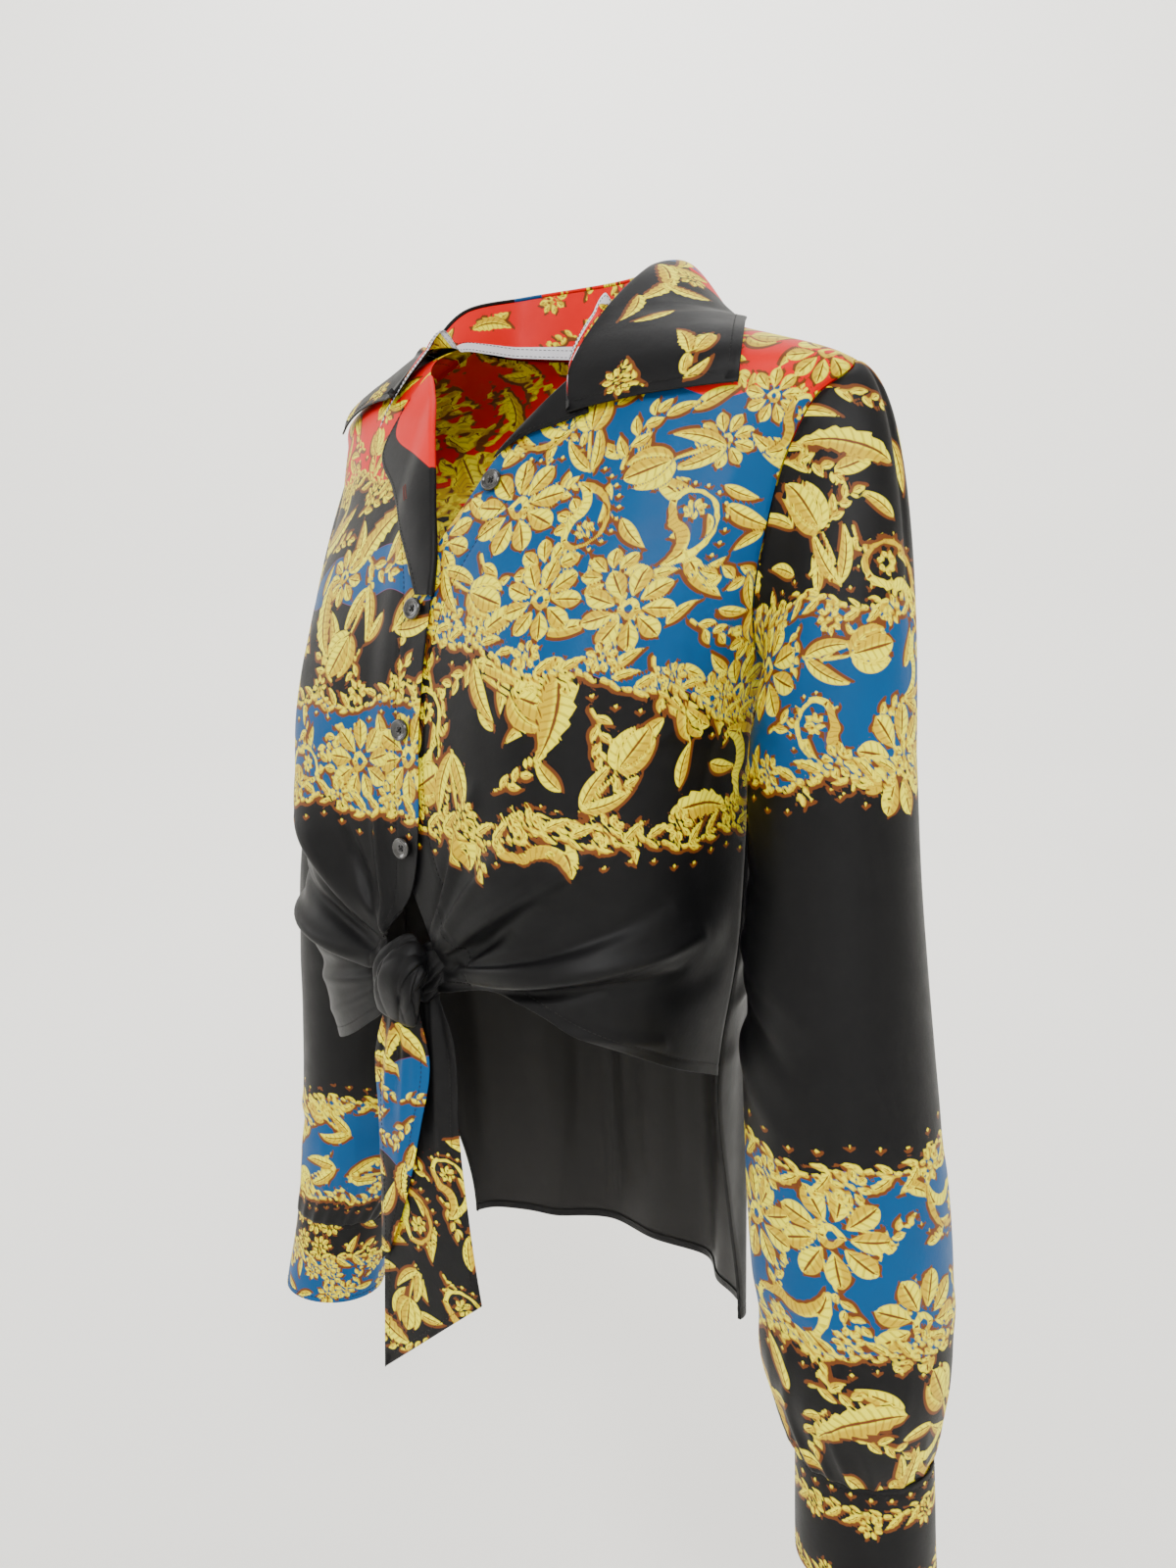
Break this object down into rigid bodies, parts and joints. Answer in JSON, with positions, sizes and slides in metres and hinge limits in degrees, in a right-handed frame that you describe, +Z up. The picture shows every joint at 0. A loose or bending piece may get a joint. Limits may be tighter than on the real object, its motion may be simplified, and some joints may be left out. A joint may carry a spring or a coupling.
{
  "type": "printed shirt with tied front",
  "caption": "Women's long-sleeved shirt in a red, blue, black and gold print, open at the neck with a long pointed collar, front ends tied in a knot at the waist.",
  "frame": {"origin": "middle of the neck at the height of the neck ends of the shoulder seams", "axes": "+Z up along the body, -Y ahead of the wearer, +X to the wearer's left"},
  "size_m": [0.5139, 0.2388, 0.6979],
  "materials": {
    "printed_cloth": "light crepe with a soft sheen, red, blue, black and gold print",
    "plain_cloth": "light crepe with a soft sheen, black",
    "button": "polished black"
  },
  "bodies": {
    "root": {"front_left": "printed_cloth", "front_right": "printed_cloth", "back": "printed_cloth", "lapel_left": "plain_cloth", "lapel_right": "plain_cloth", "collar_stand": "printed_cloth", "collar_fall": "printed_cloth", "sleeve_left": "printed_cloth", "sleeve_right": "printed_cloth", "cuff_left": "printed_cloth", "cuff_right": "printed_cloth", "knot_wrap": "plain_cloth", "knot_core": "plain_cloth", "tail_front": "printed_cloth", "tail_back": "printed_cloth", "button_neck": "button", "button_1": "button", "button_2": "button", "button_3": "button", "cuff_button_left": "button", "cuff_button_right": "button"}
  },
  "joints": []
}
